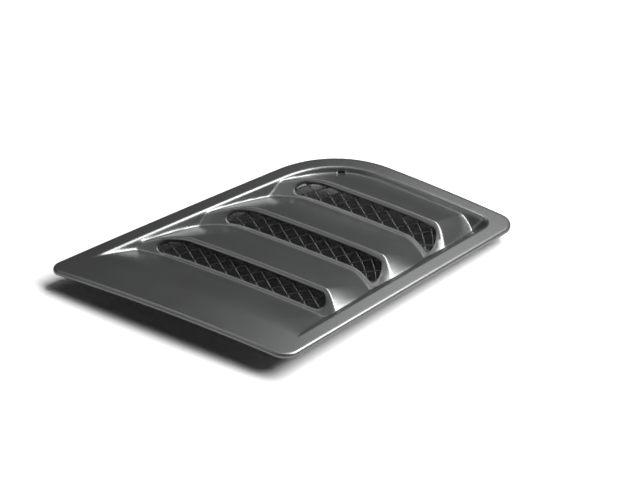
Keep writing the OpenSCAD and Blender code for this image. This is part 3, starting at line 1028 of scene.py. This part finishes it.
def spread(tree, source, place, low, high):
    made = node(tree, "ShaderNodeMapRange", place, To_Min=low, To_Max=high)
    tree.links.new(source, made.inputs["Value"])
    return made.outputs["Result"]


def bump(tree, source, place, strength, distance, below=None):
    made = node(tree, "ShaderNodeBump", place, Strength=strength, Distance=distance)
    tree.links.new(source, made.inputs["Height"])
    if below is not None:
        tree.links.new(below, made.inputs["Normal"])
    return made.outputs["Normal"]


def tinted(tree, source, place, dark, light):
    made = node(tree, "ShaderNodeValToRGB", place)
    for element, position, colour in zip(made.color_ramp.elements, (0.3, 0.7), (dark, light)):
        element.position, element.color = position, colour
    tree.links.new(source, made.inputs["Fac"])
    return made.outputs["Color"]


def shade(colour, by):
    return tuple(c * by for c in colour[:3]) + (1.0,)


def moulded(name, colour, tone, shades, gloss, roughness):
    """Material whose tone and gloss wander a little over the part."""
    material, tree, shader, coords = new_material(name)
    mottle = noise(tree, coords, (-900, 300), *tone)
    colours = [shade(colour, by) for by in shades]
    tree.links.new(tinted(tree, mottle, (-600, 300), *colours), shader.inputs["Base Color"])
    sheen = noise(tree, coords, (-900, 0), *gloss)
    tree.links.new(spread(tree, sheen, (-600, 0), *roughness), shader.inputs["Roughness"])
    return material, tree, shader, coords


def satin_moulding(name):
    """Satin gunmetal grey: a fine moulded grain, slight waviness and uneven gloss."""
    f = group("finish")
    rough = (f.satin - 0.03, f.satin + 0.03)
    made = moulded(name, f.grey, (14.0, 3.0), (0.95, 1.05), (35.0, 3.0), rough)
    material, tree, shader, coords = made
    shader.inputs["Metallic"].default_value = 0.8
    shader.inputs["Specular IOR Level"].default_value = 0.5
    grain = bump(tree, noise(tree, coords, (-900, -300), 2600.0, 2.0), (-600, -300), 0.05, 0.0002)
    sink = bump(tree, noise(tree, coords, (-900, -600), 9.0, 1.0), (-300, -300), 0.1, 0.0008, grain)
    tree.links.new(sink, shader.inputs["Normal"])
    return material


def black_lattice(name):
    """Black moulding with a faint grain."""
    f = group("finish")
    rough = (f.lattice_gloss - 0.04, f.lattice_gloss + 0.06)
    made = moulded(name, f.black, (60.0, 2.0), (0.8, 1.3), (120.0, 2.0), rough)
    material, tree, shader, coords = made
    grain = bump(tree, noise(tree, coords, (-900, -300), 1500.0, 2.0), (-600, -300), 0.1, 0.0002)
    tree.links.new(grain, shader.inputs["Normal"])
    return material


def pale_floor(name):
    """Nearly white and dull."""
    f = group("finish")
    material, tree, shader, coords = new_material(name)
    tone = noise(tree, coords, (-900, 300), 2.0, 2.0)
    colour = tinted(tree, tone, (-600, 300), shade(f.floor, 0.995), shade(f.floor, 1.0))
    tree.links.new(colour, shader.inputs["Base Color"])
    shader.inputs["Roughness"].default_value = 0.9
    return material


FINISHES = {
    "bezel": ("satin moulding", satin_moulding),
    "lattice": ("black lattice", black_lattice),
    "floor": ("pale floor", pale_floor),
}


# Operators


class BEZEL_OT_skin(bpy.types.Operator):
    """Builds the moulding: flange, pocket, louvres and slots, as one closed skin"""

    bl_idname = "bezel.skin"
    bl_label = "Moulding"

    def execute(self, context):
        finish_piece(skin_mesh(), "moulding", "bezel", ["bezel_shell"])
        return {"FINISHED"}


class BEZEL_OT_lattices(bpy.types.Operator):
    """Builds the black lattice behind each slot"""

    bl_idname = "bezel.lattices"
    bl_label = "Lattices"

    def execute(self, context):
        for i, place in enumerate(("front", "middle", "rear")):
            finish_piece(lattice_mesh(i), f"lattice_{place}", "lattice", [f"mesh_{place}"])
        return {"FINISHED"}


class BEZEL_OT_fixings(bpy.types.Operator):
    """Builds the screw towers with their pilot holes, and the locating pins"""

    bl_idname = "bezel.fixings"
    bl_label = "Towers and pins"

    def execute(self, context):
        finish_piece(towers_mesh(), "screw_towers", "bezel")
        finish_piece(pins_mesh(), "locating_pins", "bezel")
        return {"FINISHED"}


def posts(places, tops, end, profile):
    """Turned posts that rise from a depth to their tops, with a profile for each height."""
    bm = bmesh.new()
    for (x, y), top in zip(places, tops):
        turned(bm, profile(top + end), (x, y, -end))
    return scaled_to_frame(bm)


def towers_mesh():
    f = group("fixings")
    r, hole, soft = f.tower / 2, f.pilot / 2, 0.4
    foot = [
        (0, f.pilot_depth), (hole, f.pilot_depth), (hole, soft), (hole + soft, 0),
        (r - soft, 0), (r - soft * 0.3, soft * 0.3), (r, soft),
    ]

    def profile(top):
        root = [(r, top - 3.2), (r + 0.15, top - 2.2), (r + 0.5, top - 1.6), (r + 1.2, top - 1.3)]
        return foot + root + [(r + 1.2, top), (0, top)]

    places = tower_places()
    tops = [crown(x) - outline().wall / 2 for x, _ in places]
    return posts(places, tops, f.tower_end, profile)


def pins_mesh():
    f = group("fixings")
    r, base, soft = f.pin / 2, f.tower / 2, 0.25
    shoulder = f.pin_end - f.tower_end
    foot = [
        (0, 0), (r - f.pin_tip - soft, 0), (r - f.pin_tip, soft * 0.6), (r - soft * 0.5, f.pin_tip),
        (r, f.pin_tip + soft * 2), (r, shoulder), (base - soft, shoulder),
        (base - soft * 0.3, shoulder + soft * 0.3), (base, shoulder + soft),
    ]

    def profile(top):
        root = [(base, top - 3.2), (base + 0.15, top - 2.4), (base + 0.7, top - 1.8)]
        return foot + root + [(base + 0.7, top), (0, top)]

    places = np.array(pin_places(), float)
    tops = back_height(*places.T) + outline().wall / 2
    return posts(places, tops, f.pin_end, profile)


class BEZEL_OT_ribs(bpy.types.Operator):
    """Builds the ribs under the ramp and the blades"""

    bl_idname = "bezel.ribs"
    bl_label = "Ribs"

    def execute(self, context):
        finish_piece(ribs_mesh(), "stiffening_ribs", "bezel", smooth=False)
        return {"FINISHED"}


def rib_spans():
    """Start and end of the ribs under the ramp and under each blade."""
    v = group("louvres")
    o = outline()
    low = [v.first + i * v.pitch for i in LOUVRES]
    up = [y + v.run for y in low]
    spans = [(v.ramp + 4, low[0] - 12), (up[0] + 6, low[1] - 22), (up[1] + 6, low[2] - 22)]
    return spans + [(up[2] + 6, o.depth - o.flange - 16)]


def ribs_mesh():
    f = group("fixings")
    wall = outline().wall
    bm = bmesh.new()
    steps = 12
    for start, end in rib_spans():
        mid = (start + end) / 2
        a, b = left_x(mid) + 40, right_x(mid) - 60
        for k in range(f.ribs):
            x = a + (b - a) * (k + 0.5) / f.ribs
            rib = bmesh.ops.create_grid(bm, x_segments=steps, y_segments=1, size=1.0)["verts"]
            t = np.array([v.co.x for v in rib]) * 0.5 + 0.5
            lower = np.array([v.co.y < 0 for v in rib])
            y = start + (end - start) * t
            z = louvre_height(np.full_like(y, x), y, wall - 1)
            z = np.where(lower, louvre_height(np.full_like(y, x), y, wall) - f.rib_height, z)
            for vert, vy, vz in zip(rib, y, z):
                vert.co = (x - f.rib / 2, vy, vz)
            thicken(bm, list({face for vert in rib for face in vert.link_faces}), (f.rib, 0, 0))
    return scaled_to_frame(bm)


class BEZEL_OT_stakes(bpy.types.Operator):
    """Builds the formed heads that hold the lattices"""

    bl_idname = "bezel.stakes"
    bl_label = "Stakes"

    def execute(self, context):
        finish_piece(stakes_mesh(), "heat_stakes", "bezel")
        return {"FINISHED"}


def stakes_mesh():
    f = group("fixings")
    g = group("lattice")
    wall = outline().wall
    bm = bmesh.new()
    head, shank = f.stake_head / 2, f.stake / 2
    reach = 1 + 2 * g.gap + g.thick
    profile = [
        (0, 0), (shank, 0), (shank, reach), (head, reach), (head, reach + 0.3),
        (head - 0.4, reach + 0.75), (head - 1.1, reach + 1.05), (0, reach + 1.15),
    ]
    for i in LOUVRES:
        x0, x1 = slot_ends(i)
        for x in (x0 - g.tab / 2, x1 + g.tab / 2):
            at = np.array([x])
            _, _, dy, dz, length = riser(i, at)
            slope = math.atan2(dz[0], dy[0])
            turn = Matrix.Rotation(slope, 4, "X") @ Matrix.Scale(-1, 4, (0, 0, 1))
            for share in (-0.2, 0.2):
                s = np.array([share]) * length
                place = on_riser(i, at, s, np.array([-(wall - 1)]))[0]
                turned(bm, profile, Vector(place), turn, 24)
    return scaled_to_frame(bm)


class BEZEL_OT_stage(bpy.types.Operator):
    """Sets up the floor, the lights and the camera"""

    bl_idname = "bezel.stage"
    bl_label = "Stage"

    def execute(self, context):
        make_floor()
        make_lights()
        make_camera()
        return {"FINISHED"}


def make_floor():
    bm = bmesh.new()
    bmesh.ops.create_grid(bm, x_segments=1, y_segments=1, size=6.0)
    floor = new_object(bm, "floor", "floor")
    floor.location.z = CAD_LOW.z


def soft_box(name, power, towards, distance, along, size, only_shine):
    """Area light that faces the part from a direction, with its long side along another.

    With only_shine it shows in glossy faces and leaves the hollow behind the lattices dark.
    """
    light = bpy.data.lights.new(name, "AREA")
    light.energy = power
    light.shape, (light.size, light.size_y) = "RECTANGLE", size
    lamp = bpy.data.objects.new(name, light)
    lamp.visible_diffuse = not only_shine
    bpy.context.scene.collection.objects.link(lamp)
    back = Vector(towards).normalized()
    up = back.cross(Vector(along)).normalized()
    turn = Matrix((up.cross(back), up, back)).transposed().to_4x4()
    lamp.matrix_world = Matrix.Translation(back * distance) @ turn


# The soft boxes: direction and distance from the part, direction of the long side, size in metres,
# and whether only glossy faces see them
SOFT_BOXES = {
    "overhead": ((0.44, 0.26, 0.86), 1.5, (0.84, -0.42, -0.34), (1.5, 0.7), False),
    "front_left": ((-0.1, -0.42, 0.9), 1.6, (1, 0, 0.1), (0.9, 0.4), True),
    "left": ((-0.42, 0.0, 0.9), 1.6, (0.9, 0, 0.42), (0.8, 0.5), True),
    "front": ((-0.4, -0.72, 0.56), 1.6, (1, -0.5, 0), (0.9, 0.5), True),
    "behind": ((-0.05, 0.68, 0.73), 1.6, (1, 0, 0), (0.7, 0.4), False),
}


def make_lights():
    s = group("studio")
    for name, box in SOFT_BOXES.items():
        soft_box(name, getattr(s, name), *box)
    world = bpy.data.worlds.new("studio")
    world.use_nodes = True
    back = world.node_tree.nodes["Background"]
    back.inputs["Color"].default_value = (1, 1, 1, 1)
    back.inputs["Strength"].default_value = s.world
    bpy.context.scene.world = world
    bpy.context.scene.view_settings.view_transform = "Standard"


# The point on the drawing that the camera aims at, and its place in the picture, from the top left
AIM = (198, 129.5, -4)
AIM_PIXEL = (281, 256)
PICTURE = (640, 480)


def make_camera():
    s = group("studio")
    a, e = math.radians(s.azimuth), math.radians(s.elevation)
    back = Vector((math.sin(a) * math.cos(e), -math.cos(a) * math.cos(e), math.sin(e)))
    right = Vector((math.cos(a), math.sin(a), 0))
    target = Vector(to_frame([AIM])[0])
    data = bpy.data.cameras.new("camera")
    data.lens, data.sensor_width = s.lens, 36.0
    width, height = PICTURE
    data.shift_x = (width / 2 - AIM_PIXEL[0]) / width
    data.shift_y = (AIM_PIXEL[1] - height / 2) / width
    camera = bpy.data.objects.new("camera", data)
    bpy.context.scene.collection.objects.link(camera)
    turn = Matrix((right, back.cross(right), back)).transposed().to_4x4()
    camera.matrix_world = Matrix.Translation(target + back * s.distance * MM) @ turn
    bpy.context.scene.camera = camera


class BEZEL_PT_panel(bpy.types.Panel):
    """Lists the sizes, the finishes and the steps"""

    bl_idname = "BEZEL_PT_panel"
    bl_label = "Hood bezel"
    bl_space_type = "VIEW_3D"
    bl_region_type = "UI"
    bl_category = "Bezel"

    def draw(self, context):
        for name, group in GROUPS.items():
            box = self.layout.box()
            box.label(text=group.__doc__)
            for prop in group.__annotations__:
                box.prop(getattr(context.scene, name), prop)
        for step in STEPS:
            self.layout.operator(step.bl_idname)


STEPS = [
    BEZEL_OT_skin, BEZEL_OT_lattices, BEZEL_OT_fixings, BEZEL_OT_ribs, BEZEL_OT_stakes, BEZEL_OT_stage
]


def register():
    for cls in [*GROUPS.values(), *STEPS, BEZEL_PT_panel]:
        bpy.utils.register_class(cls)
    for name, group in GROUPS.items():
        setattr(bpy.types.Scene, name, PointerProperty(type=group))


def unregister():
    for name in GROUPS:
        delattr(bpy.types.Scene, name)
    for cls in reversed([*GROUPS.values(), *STEPS, BEZEL_PT_panel]):
        bpy.utils.unregister_class(cls)


def main():
    register()
    for step in STEPS:
        getattr(bpy.ops.bezel, step.bl_idname.split(".")[1])()


if __name__ == "__main__":
    main()
